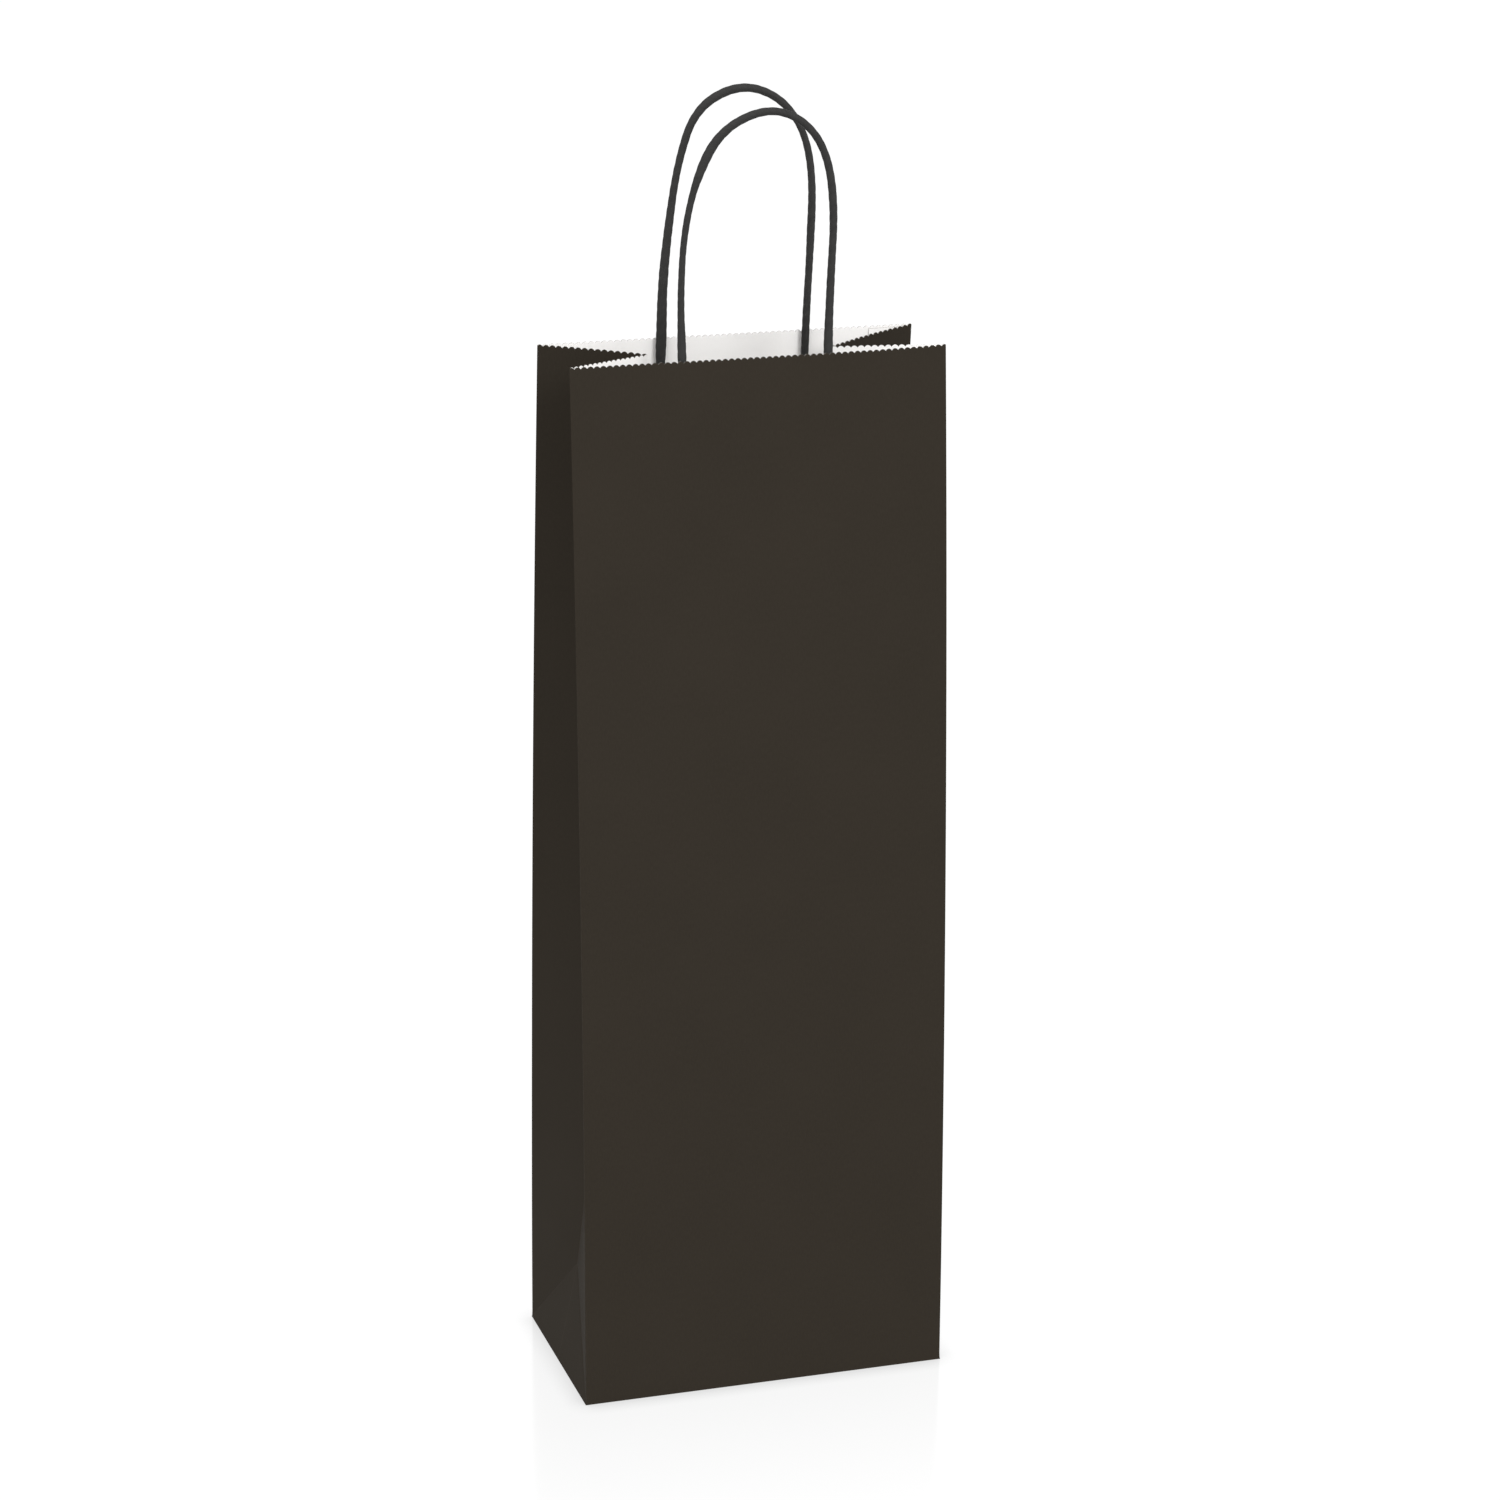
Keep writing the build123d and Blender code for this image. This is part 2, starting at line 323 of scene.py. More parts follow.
RIM_SPREAD = 1.5  # width of the wear at the mouth, against that at a fold
KNEE_WEAR = 0.3  # strength of the wear at the creases of the gussets' feet


def fold_share(paint, place, width):
    """1 along the folds and the cut edge of the bag's sheet, 0 away from them."""
    split = paint.add("ShaderNodeSeparateXYZ")
    paint.link(place, split.inputs["Vector"])
    across = paint.math("ABSOLUTE", split.outputs["X"])
    up = split.outputs["Y"]
    corner = near_line(paint, across, HALF_WIDTH, width)
    middle = near_line(paint, across, HALF_SHEET, width)
    bottom = near_line(paint, up, 0.0, width)
    rim = near_line(paint, up, LENGTH, RIM_SPREAD * width)
    upright = paint.math("MAXIMUM", corner, middle)
    lines = paint.math("MAXIMUM", upright, paint.math("MAXIMUM", bottom, rim))
    knee = near_line(paint, paint.math("SUBTRACT", across, up), HALF_WIDTH, width)
    at_foot = paint.math("LESS_THAN", up, HALF_DEPTH + width)
    knee_wear = paint.math("MULTIPLY", at_foot, KNEE_WEAR)
    return paint.math("MAXIMUM", lines, paint.math("MULTIPLY", knee, knee_wear))


def paper_grain(paint, place):
    """Fine fibres, and the faint upright lines of ribbed kraft paper."""
    fine = paint.stretched(place, (1800, 520, 1800))
    upright = paint.stretched(place, (900, 14, 900))
    fibres = paint.noise(fine, scale=1.0, detail=3.0, roughness=0.65)
    ribs = paint.noise(upright, scale=1.0, detail=1.0, roughness=0.4)
    return fibres, ribs


# ---- Materials -------------------------------------------------------------------

FOLD_WEAR_WIDTH = 0.5 * MM
FACES_DOWN = -0.5  # a normal whose Z is under this looks down
FACES_ASLANT = 0.25  # and one whose X times Y is over this looks between the axes
FLOOR_GLOW = 1.06  # strength of the light from below
FLOOR_SHADE = 0.06  # share of the floor that takes shadows
FLOOR_GLOSS = 0.115  # share that mirrors, at the bag's base
FLOOR_ROUGHNESS = 0.12
MIRROR_REACH = 0.17  # the mirror fades out this far from the base
# CONTACT_REACH and CONTACT_SHADE set the reach and depth of a painted contact shadow in the floor's
# glow.
CONTACT_REACH = 0.009  # the dark line where the bag meets the floor
CONTACT_SHADE = 0.4
CONTACT_SAMPLES = 6


def printed_paper():
    """Charcoal-brown ink on matt paper, a little paler where it is folded or cut."""
    paint = Paint("charcoal_paper")
    place = paint.flat()
    fibres, ribs = paper_grain(paint, place)
    cloud = paint.noise(place, scale=24.0, detail=3.0)
    dark_ink = (0.0212, 0.0171, 0.0126)
    pale_ink = (0.0230, 0.0185, 0.0137)
    fibre_ink = (0.031, 0.026, 0.0195)
    rubbed_ink = (0.060, 0.051, 0.042)
    tone = paint.mix(paint.spread(cloud, 0.0, 1.0), dark_ink, pale_ink)
    speck = paint.mix(paint.spread(fibres, 0.0, 0.4), tone, fibre_ink)
    folds = fold_share(paint, place, FOLD_WEAR_WIDTH)
    rubbed = paint.math("MULTIPLY", folds, paint.spread(fibres, 0.0, 0.3))
    color = paint.mix(rubbed, speck, rubbed_ink)
    roughness = paint.spread(fibres, 0.74, 0.88)
    relief = paint.bump(ribs, strength=0.25, distance=0.05 * MM)
    normal = paint.bump(fibres, strength=0.30, distance=0.03 * MM, below=relief)
    return paint.finish(color, roughness, normal, specular=0.05)


def white_paper():
    """The unprinted inside of the sheet."""
    paint = Paint("white_paper")
    place = paint.flat()
    fibres, ribs = paper_grain(paint, place)
    cloud = paint.noise(place, scale=30.0, detail=3.0)
    dull_white = (0.81, 0.80, 0.79)
    clean_white = (0.85, 0.84, 0.83)
    fibre_white = (0.78, 0.76, 0.74)
    tone = paint.mix(paint.spread(cloud, 0.0, 1.0), dull_white, clean_white)
    color = paint.mix(paint.spread(fibres, 0.0, 0.25), tone, fibre_white)
    roughness = paint.spread(fibres, 0.74, 0.88)
    relief = paint.bump(ribs, strength=0.22, distance=0.05 * MM)
    normal = paint.bump(fibres, strength=0.30, distance=0.03 * MM, below=relief)
    return paint.finish(color, roughness, normal, specular=0.3)


def cut_edge():
    """The pinked edge: a grey core, with ink drawn over it by the blade."""
    paint = Paint("cut_edge")
    place = paint.flat()
    fray = paint.noise(place, scale=2600.0, detail=2.0)
    inked = (0.10, 0.09, 0.08)
    bare = (0.46, 0.44, 0.41)
    color = paint.mix(paint.spread(fray, 0.0, 1.0), inked, bare)
    return paint.finish(color, paint.spread(fray, 0.8, 0.95), specular=0.2)


def patch_paper():
    """Uncoated white patch, a little stained where the glue has soaked through."""
    paint = Paint("patch_paper")
    place = paint.flat()
    fibres, _ = paper_grain(paint, place)
    damp = paint.noise(place, scale=90.0, detail=3.0)
    grey_fibre = (0.72, 0.70, 0.66)
    white_fibre = (0.82, 0.81, 0.78)
    glue_stain = (0.66, 0.63, 0.56)
    tone = paint.mix(paint.spread(fibres, 0.0, 1.0), grey_fibre, white_fibre)
    color = paint.mix(paint.spread(damp, 0.0, 0.35), tone, glue_stain)
    cockle = paint.noise(place, scale=140.0, detail=2.0)
    relief = paint.bump(cockle, strength=0.35, distance=0.25 * MM)
    normal = paint.bump(fibres, strength=0.35, distance=0.04 * MM, below=relief)
    return paint.finish(color, paint.spread(fibres, 0.76, 0.9), normal, specular=0.3)


def dried_glue():
    """Yellowish white paste, half shiny."""
    paint = Paint("dried_glue")
    place = paint.object_place()
    cloud = paint.noise(place, scale=700.0, detail=3.0)
    thick_glue = (0.70, 0.67, 0.58)
    thin_glue = (0.80, 0.78, 0.71)
    color = paint.mix(paint.spread(cloud, 0.0, 1.0), thick_glue, thin_glue)
    grains = paint.noise(place, scale=1500.0, detail=2.0)
    normal = paint.bump(grains, strength=0.3, distance=0.1 * MM)
    return paint.finish(color, paint.spread(cloud, 0.3, 0.45), normal)


def twisted_paper():
    """Charcoal kraft, wound tight: streaks and creases follow the twist, with painted shade
    darkening the creases.
    """
    paint = Paint("cord_paper")
    place = paint.flat()
    long_cells = paint.stretched(place, (2600, 240, 1))
    short_cells = paint.stretched(place, (3800, 900, 1))
    streaks = paint.noise(long_cells, scale=1.0, detail=3.0, roughness=0.6)
    fibres = paint.noise(short_cells, scale=1.0, detail=2.0, roughness=0.6)
    cloud = paint.noise(place, scale=160.0, detail=2.0)
    # crease is the ink darkened with painted shade, laid on the low streaks of the bump relief;
    # ridge is the plain ink.
    crease = (0.0140, 0.0138, 0.0135)
    ridge = (0.0230, 0.0225, 0.0218)
    rubbed = (0.027, 0.026, 0.0245)
    tone = paint.mix(paint.spread(streaks, 0.0, 1.0), crease, ridge)
    color = paint.mix(paint.spread(cloud, 0.0, 0.4), tone, rubbed)
    relief = paint.bump(streaks, strength=0.6, distance=0.12 * MM)
    normal = paint.bump(fibres, strength=0.35, distance=0.04 * MM, below=relief)
    return paint.finish(color, paint.spread(fibres, 0.6, 0.78), normal, specular=0.2)


def flap_paper():
    """Bottom flaps: ink on the faces that look down and on the slanted folds, else white."""
    paint = Paint("flap_paper")
    place = paint.object_place()
    fibres, ribs = paper_grain(paint, place)
    split = paint.add("ShaderNodeSeparateXYZ")
    paint.link(paint.add("ShaderNodeNewGeometry").outputs["True Normal"], split.inputs["Vector"])
    looks_down = paint.math("LESS_THAN", split.outputs["Z"], FACES_DOWN)
    slant = paint.math("ABSOLUTE", paint.math("MULTIPLY", split.outputs["X"], split.outputs["Y"]))
    folded = paint.math("GREATER_THAN", slant, FACES_ASLANT)
    grey_fibre = (0.76, 0.75, 0.73)
    white_fibre = (0.85, 0.84, 0.82)
    dark_ink = (0.018, 0.0148, 0.0108)
    pale_ink = (0.026, 0.022, 0.017)
    inside = paint.mix(paint.spread(fibres, 0.0, 1.0), grey_fibre, white_fibre)
    outside = paint.mix(paint.spread(fibres, 0.0, 1.0), dark_ink, pale_ink)
    color = paint.mix(paint.math("MAXIMUM", looks_down, folded), inside, outside)
    relief = paint.bump(ribs, strength=0.25, distance=0.05 * MM)
    normal = paint.bump(fibres, strength=0.3, distance=0.03 * MM, below=relief)
    return paint.finish(color, paint.spread(fibres, 0.68, 0.84), normal, specular=0.2)


def off_base(paint, place):
    """Distance along the floor from the bag's base."""
    split = paint.add("ShaderNodeSeparateXYZ")
    paint.link(place, split.inputs["Vector"])
    outside = []
    for axis, half in (("X", HALF_WIDTH), ("Y", HALF_DEPTH)):
        away = paint.math("SUBTRACT", paint.math("ABSOLUTE", split.outputs[axis]), half)
        outside.append(paint.math("MAXIMUM", away, 0.0))
    squares = [paint.math("MULTIPLY", away, away) for away in outside]
    return paint.math("SQRT", paint.math("ADD", *squares))


def mix_shaders(paint, share, first, second):
    """A share of the second shader over the first. The share is a number or a socket."""
    node = paint.add("ShaderNodeMixShader")
    if isinstance(share, float):
        node.inputs["Fac"].default_value = share
    else:
        paint.link(share, node.inputs["Fac"])
    paint.link(first, node.inputs[1])
    paint.link(second, node.inputs[2])
    return node.outputs["Shader"]


def floor_surface():
    """White acrylic sweep, lit from below. It takes a soft shadow, and mirrors what is close. Round
    the bag's base its glow is darkened by a painted contact shadow.
    """
    paint = Paint("studio_floor")
    place = paint.object_place()
    drift = paint.noise(place, scale=1.5, detail=1.0)
    dull_white = (0.60, 0.60, 0.60)
    clean_white = (0.61, 0.61, 0.61)
    tone = paint.mix(paint.spread(drift, 0.0, 1.0), dull_white, clean_white)
    paint.link(tone, paint.shader.inputs["Base Color"])
    paint.shader.inputs["Roughness"].default_value = 1.0
    paint.shader.inputs["Specular IOR Level"].default_value = 0.0
    # Painted contact shadow: ambient occlusion darkens the floor's glow where the bag meets it.
    contact_shadow = paint.add("ShaderNodeAmbientOcclusion", samples=CONTACT_SAMPLES)
    contact_shadow.inputs["Distance"].default_value = CONTACT_REACH
    open_share = paint.math("MULTIPLY_ADD", contact_shadow.outputs["AO"], CONTACT_SHADE, 1 - CONTACT_SHADE)
    glow = paint.add("ShaderNodeEmission")
    paint.link(paint.math("MULTIPLY", open_share, FLOOR_GLOW), glow.inputs["Strength"])
    gloss = paint.add("ShaderNodeBsdfAnisotropic")
    gloss.inputs["Roughness"].default_value = FLOOR_ROUGHNESS
    away = paint.math("DIVIDE", off_base(paint, place), MIRROR_REACH)
    near = paint.math("SUBTRACT", 1.0, away, clamp=True)
    share = paint.math("MULTIPLY", near, FLOOR_GLOSS)
    body = mix_shaders(paint, FLOOR_SHADE, glow.outputs["Emission"], paint.shader.outputs["BSDF"])
    surface = mix_shaders(paint, share, body, gloss.outputs["BSDF"])
    paint.link(surface, paint.nodes["Material Output"].inputs["Surface"])
    return paint.material


PRINTED = printed_paper()
WHITE = white_paper()
EDGE = cut_edge()
PATCH = patch_paper()
GLUE_PAINT = dried_glue()
CORD_PAINT = twisted_paper()
FLAP = flap_paper()

# ---- Shape of the standing bag ------------------------------------------------------


def half_depth_at(z):
    """From the middle of the bag to a panel: it leans in, and bows out a little."""
    share = z / TOP
    straight = HALF_DEPTH + (MOUTH_HALF - HALF_DEPTH) * share
    return straight + 4 * PANEL_BOW * share * (1 - share)


def slope_at(z):
    """How much half_depth_at changes for each metre up."""
    return (MOUTH_HALF - HALF_DEPTH + 4 * PANEL_BOW * (1 - 2 * z / TOP)) / TOP


def ripple_at(side, x, z):
    """Slight unevenness of a panel, none at its folds."""
    wave = noise.noise(Vector((x / RIPPLE_WIDTH, z / RIPPLE_HEIGHT, 5.3 * side)))
    from_fold = min(1, (HALF_WIDTH - abs(x)) / STIFF_SIDE, z / STIFF_FOOT)
    return RIPPLE * wave * max(0, from_fold)


def corner_shift(side, x, z):
    """The mouth isn't quite true: three of its corners stand a little off."""
    if side == BACK:
        shift = Vector((math.copysign(BACK_SPREAD, x), 0, 0))
    elif x > 0:
        shift = FRONT_RIGHT_SHIFT
    else:
        return Vector()
    return shift * abs(x / HALF_WIDTH) ** SHIFT_FADE * z / TOP


def panel_point(side, x, height, depth=0.0):
    """Point on a panel at a height along it, and a depth into the bag."""
    z = height * TOP / LENGTH
    outward = Vector((0, side, -slope_at(z))).normalized()
    surface = Vector((x, side * (half_depth_at(z) + ripple_at(side, x, z)), z))
    return surface + corner_shift(side, x, z) - outward * depth


def inset_at(height):
    """How far in the middle fold of a gusset stands, so that each half keeps its width."""
    half = half_depth_at(height * TOP / LENGTH)
    return math.sqrt(max(0, HALF_DEPTH**2 - half**2))


KNEE_INSET = inset_at(HALF_DEPTH)
KNEE_Z = math.sqrt(HALF_DEPTH**2 - KNEE_INSET**2)
TIP_RUN = inset_at(LENGTH) - KNEE_INSET
TIP_Z = KNEE_Z + math.sqrt((LENGTH - HALF_DEPTH) ** 2 - TIP_RUN**2)


def middle_fold(hand, height):
    """Point on the middle fold of a gusset, above its knee. The right one is pressed in more."""
    share = (height - HALF_DEPTH) / (LENGTH - HALF_DEPTH)
    fold = Vector((hand * (HALF_WIDTH - inset_at(height)), 0, KNEE_Z + (TIP_Z - KNEE_Z) * share))
    return fold + RIGHT_FOLD_SHIFT * share if hand == RIGHT else fold


def foot_point(hand, y, height):
    """Point on the triangle at the foot of a gusset, which leans in a little."""
    share = height / HALF_DEPTH
    return Vector((hand * (HALF_WIDTH - KNEE_INSET * share), y, KNEE_Z * share))


def gusset_point(side, hand, across, height):
    """Point on one half of a gusset. It ends at the fold of its foot, below the knee."""
    corner = panel_point(side, hand * HALF_WIDTH, height)
    if height <= HALF_DEPTH:
        reach = height
        end = foot_point(hand, side * (HALF_DEPTH - height), height)
    else:
        reach = HALF_DEPTH
        end = middle_fold(hand, height)
    if reach == 0:
        return corner
    share = min(1, across / reach)
    bow = side * GUSSET_BOW[side] * 4 * share * (1 - share) * (1 - reach / max(height, reach))
    return corner.lerp(end, share) + Vector((0, bow, 0))


def sheet_point(side, along, height):
    """Point on the front or back half of the bag's sheet."""
    if abs(along) <= HALF_WIDTH:
        return panel_point(side, along, height)
    return gusset_point(side, math.copysign(1, along), abs(along) - HALF_WIDTH, height)


def folded_point(side, along, height):
    """The same, with the corner folds rounded."""
    past = (abs(along) - HALF_WIDTH) / FOLD_RADIUS
    if abs(past) >= 1:
        return sheet_point(side, along, height)
    hand = math.copysign(1, along)
    before, fold, after = (
        sheet_point(side, hand * (HALF_WIDTH + step * FOLD_RADIUS), height) for step in (-1, 0, 1)
    )
    share = (past + 1) / 2
    return before * (1 - share) ** 2 + fold * 2 * share * (1 - share) + after * share**2


# ---- Mesh helpers -------------------------------------------------------------------


def spaced(start, end, step):
    """Evenly spaced values from start to end, about step apart."""
    count = max(1, round((end - start) / step))
    return [start + (end - start) * i / count for i in range(count + 1)]


def new_piece(name, mesh, slot, *materials):
    """An object in the scene, with its materials; slot, the record's slot that it belongs to, is not
    used.
    """
    piece = bpy.data.objects.new(name, mesh)
    bpy.context.scene.collection.objects.link(piece)
    for material in materials:
        mesh.materials.append(material)
    return piece


SAME_PLACE = 1e-6  # points closer than this are one
NO_AREA = 1e-12  # and faces smaller than this are none
SHEET_SHARP = math.radians(30)  # edges that turn more than this are drawn sharp
CORD_SHARP = math.radians(60)


def mesh_from(name, build, sharp=SHEET_SHARP):
    """Mesh of a filled bmesh, without doubled points, empty faces and what they leave loose."""
    bmesh.ops.remove_doubles(build, verts=build.verts, dist=SAME_PLACE)
    thin = [face for face in build.faces if face.calc_area() < NO_AREA]
    bmesh.ops.delete(build, geom=thin, context="FACES")
    loose_edges = [edge for edge in build.edges if not edge.link_faces]
    bmesh.ops.delete(build, geom=loose_edges, context="EDGES")
    loose = [vert for vert in build.verts if not vert.link_faces]
    bmesh.ops.delete(build, geom=loose, context="VERTS")
    mesh = bpy.data.meshes.new(name)
    build.to_mesh(mesh)
    build.free()
    mesh.shade_smooth()
    mesh.set_sharp_from_angle(angle=sharp)
    return mesh


def thicken(piece, thickness, slots):
    """Give a sheet its thickness, inwards. slots are the inner face's and the edge's."""
    modifier = piece.modifiers.new("thickness", "SOLIDIFY")
    modifier.thickness = thickness
    modifier.offset = -1
    modifier.use_even_offset = True
    modifier.use_quality_normals = True
    modifier.material_offset, modifier.material_offset_rim = slots
    depsgraph = bpy.context.evaluated_depsgraph_get()
    solid = bpy.data.meshes.new_from_object(piece.evaluated_get(depsgraph))
    piece.modifiers.clear()
    piece.data = solid
    piece.data.set_sharp_from_angle(angle=SHEET_SHARP)


def grid_sheet(name, surface, columns, rows, outward, thickness, slot, materials):
    """A sheet over a grid. surface gives a point from a column and a row value."""
    build = bmesh.new()
    flat = build.verts.layers.float_vector.new("flat")
    verts = {}
    for i, column in enumerate(columns):
        for j, row in enumerate(rows):
            vert = build.verts.new(surface(column, row))
            vert[flat] = (column, row, 0)
            verts[i, j] = vert
    for i in range(len(columns) - 1):
        for j in range(len(rows) - 1):
            corners = [verts[i, j], verts[i + 1, j], verts[i + 1, j + 1], verts[i, j + 1]]
            build.faces.new(corners if outward < 0 else corners[::-1])
    piece = new_piece(name, mesh_from(name, build), slot, *materials)
    thicken(piece, thickness, (1, 2) if len(materials) > 2 else (0, 0))
    return piece


# ---- The bag's sheet ----------------------------------------------------------------


def tooth_height(along):
    """Height of the pinked edge: rounded teeth, not quite even."""
    place = along / TOOTH_PITCH
    tooth = math.floor(place)
    rise = math.sin(math.pi * (place - tooth)) ** TOOTH_ROUNDNESS
    uneven = 1 + TOOTH_UNEVENNESS * noise.noise(Vector((tooth * 1.7, 0.5, 0.5)))
    return LENGTH - TOOTH_DEPTH * (1 - rise * uneven)


def sheet_stations():
    """Places across half of the sheet: even cells, and closer ones at the corner folds."""
    even = spaced(-HALF_SHEET, HALF_SHEET, CELL)
    places = [place for place in even if abs(abs(place) - HALF_WIDTH) > FOLD_CLEAR]
    for corner in (-HALF_WIDTH, HALF_WIDTH):
        for step in FOLD_STEPS:
            places.append(corner + step * FOLD_RADIUS)
    return sorted(places)


def sheet_heights():
    """Heights up the sheet, below the teeth."""
    low = spaced(0, HALF_DEPTH, CELL)
    return low + spaced(HALF_DEPTH, LENGTH - TEETH_BAND, TALL_CELL)[1:]


def add_teeth(build, flat, side, stations, top_row):
    """The pinked band along the mouth, one polygon for each cell."""
    edge = {}

    def edge_vert(along):
        key = round(along / RIM_STEP)
        if key not in edge:
            height = tooth_height(along)
            vert = build.verts.new(folded_point(side, along, height))
            vert[flat] = (along, height, 0)
            edge[key] = vert
        return edge[key]

    for i in range(len(stations) - 1):
        start, end = stations[i], stations[i + 1]
        samples = max(1, round(TOOTH_SAMPLES * (end - start) / TOOTH_PITCH))
        rim = [edge_vert(start + (end - start) * k / samples) for k in range(samples + 1)]
        corners = [top_row[i], top_row[i + 1], *reversed(rim)]
        build.faces.new(corners if side < 0 else corners[::-1])


def add_lip(build, flat, side, stations, bottom_row):
    """Below its bottom fold, a panel turns under the bag and runs into its flap."""
    lip = []
    for i, along in enumerate(stations):
        if abs(along) > HALF_WIDTH:
            continue
        vert = build.verts.new((along, side * (HALF_DEPTH - LIP), 0))
        vert[flat] = (along, -LIP, 0)
        lip.append((i, vert))
    for (i, start), (_, end) in zip(lip, lip[1:]):
        corners = [start, end, bottom_row[i + 1], bottom_row[i]]
        build.faces.new(corners if side < 0 else corners[::-1])


def print_below(piece, height, *kinds):
    """Ink the faces of these kinds, 1 for inner and 2 for edge, that lie below a height."""
    for face in piece.data.polygons:
        if face.material_index in kinds and face.center.z < height:
            face.material_index = 0


def stand_flat(piece):
    """The thickness turns a hair below the base at its folds: keep it on the floor."""
    for vert in piece.data.vertices:
        vert.co.z = max(0, vert.co.z)


def half_bag(side):
    """A panel with its half of each gusset, in one sheet."""
    stations = sheet_stations()
    heights = sheet_heights()
    build = bmesh.new()
    flat = build.verts.layers.float_vector.new("flat")
    rows = []
    for height in heights:
        row = []
        for along in stations:
            reach = HALF_WIDTH + min(height, HALF_DEPTH)
            held = math.copysign(min(abs(along), reach), along)
            vert = build.verts.new(folded_point(side, held, height))
            vert[flat] = (held, height, 0)
            row.append(vert)
        rows.append(row)
    for low, high in zip(rows, rows[1:]):
        for i in range(len(stations) - 1):
            corners = [low[i], low[i + 1], high[i + 1], high[i]]
            build.faces.new(corners if side < 0 else corners[::-1])
    add_teeth(build, flat, side, stations, rows[-1])
    add_lip(build, flat, side, stations, rows[0])
    name = f"{SIDE_NAMES[side]}_sheet"
    piece = new_piece(name, mesh_from(name, build), "bag_paper", PRINTED, WHITE, EDGE)
    thicken(piece, PAPER, (1, 2))
    print_below(piece, TOP - 2 * TEETH_BAND, 2)
    stand_flat(piece)
    panel = f"{SIDE_NAMES[side]}_panel"
    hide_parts(panel, *(f"{hand}_gusset_{SIDE_NAMES[side]}" for hand in HAND_NAMES.values()))
    return piece


def bend_with_panel(piece):
    """Bakes the piece's transform into its mesh. It doesn't bend the gusset halves."""
    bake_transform(piece)


def tucked_point(side, hand, height):
    """Point just past the crease of a gusset's foot, behind the half that moves there."""
    beside = gusset_point(side, hand, max(0, height - FOOT_LAP), height)
    return beside - Vector((hand * FOOT_TUCK, 0, 0))


def foot_line(hand, height):
    """Points across a gusset's foot, tucked behind both halves, each with its place across."""
    reach = HALF_DEPTH - height
    places = [max(-reach, min(reach, y)) for y in spaced(-HALF_DEPTH, HALF_DEPTH, CELL)]
    line = [(y, foot_point(hand, y, height)) for y in places]
    line.insert(0, (-reach - FOOT_LAP, tucked_point(FRONT, hand, height)))
    line.append((reach + FOOT_LAP, tucked_point(BACK, hand, height)))
    return line


def gusset_foot(hand):
    """The triangle that stays standing at the foot of a gusset."""
    name = f"{HAND_NAMES[hand]}_foot_sheet"
    build = bmesh.new()
    flat = build.verts.layers.float_vector.new("flat")
    heights = [0, *spaced(end_flap_top, HALF_DEPTH, CELL)]
    rows = []
    for height in heights:
        row = []
        for y, place in foot_line(hand, height):
            vert = build.verts.new(place)
            vert[flat] = (HALF_SHEET - abs(y), height, 0)
            row.append(vert)
        rows.append(row)
    for low, high in zip(rows, rows[1:]):
        for i in range(len(low) - 1):
            corners = [low[i], low[i + 1], high[i + 1], high[i]]
            build.faces.new(corners if hand > 0 else corners[::-1])
    piece = new_piece(name, mesh_from(name, build), "bag_paper", PRINTED, WHITE, WHITE)
    thicken(piece, PAPER, (1, 2))
    print_below(piece, end_flap_top, 1, 2)
    stand_flat(piece)
    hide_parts(f"{HAND_NAMES[hand]}_gusset_foot")
    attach(piece, "base")


for bag_side in (FRONT, BACK):
    bend_with_panel(half_bag(bag_side))
for bag_hand in (LEFT, RIGHT):
    gusset_foot(bag_hand)

# ---- Seam tab, inside the back panel --------------------------------------------------


def side_seam():
    """The tab that closes the tube, and its film of glue."""
    rows = spaced(tab_low.z * LENGTH / TOP, LENGTH - TEETH_BAND / 2, TALL_CELL)
    columns = spaced(tab_low.x, tab_high.x, CELL)
    tab = grid_sheet(
        "seam_tab",
        lambda x, height: panel_point(BACK, x, height, PAPER + GLUE),
        columns, rows, BACK, PAPER, "bag_paper", (PRINTED, WHITE, EDGE),
    )
    glue_columns = spaced(tab_low.x + SEAM_MARGIN, tab_high.x - SEAM_MARGIN, CELL)
    film = grid_sheet(
        "seam_glue",
        lambda x, height: panel_point(BACK, x, height, PAPER),
        glue_columns, rows[:-1], BACK, GLUE, "glue", (GLUE_PAINT,),
    )
    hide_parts("side_seam_tab")
    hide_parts("side_seam_glue")
    for piece in (tab, film):
        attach(piece, "back_side")


side_seam()

# ---- Handles -----------------------------------------------------------------------


def cord_route(side):
    """Control points of a handle's free cord, from patch top to patch top."""
    legs, loop = HANDLES[side]
    y = side * HINGE_Y

    def up_the_panel(x):
        heights = (PATCH_TOP - CORD_TUCK, PATCH_TOP + CORD_RISE)
        return [panel_point(side, x, height, CORD_DEPTH) for height in heights]

    left, right = (x * MM for x in legs)
    over = [Vector((x * MM, y, z * MM)) for x, z in loop]
    start = [*up_the_panel(left), Vector((left, y, HINGE_Z))]
    end = [Vector((right, y, HINGE_Z)), *reversed(up_the_panel(right))]
    return start + over + end


def nurbs_points(points):
    """Points along the NURBS curve that these control points give."""
    curve = bpy.data.curves.new("route", "CURVE")
    curve.dimensions = "3D"
    spline = curve.splines.new("NURBS")
    spline.points.add(len(points) - 1)
    for point, place in zip(spline.points, points):
        point.co = (*place, 1)
    spline.order_u = 3
    spline.use_endpoint_u = True
    spline.resolution_u = 40
    holder = bpy.data.objects.new("route", curve)
    bpy.context.scene.collection.objects.link(holder)
    bpy.context.view_layer.update()
    line = bpy.data.meshes.new_from_object(holder)
    places = [vert.co.copy() for vert in line.vertices]
    bpy.data.objects.remove(holder)
    bpy.data.curves.remove(curve)
    bpy.data.meshes.remove(line)
    return places


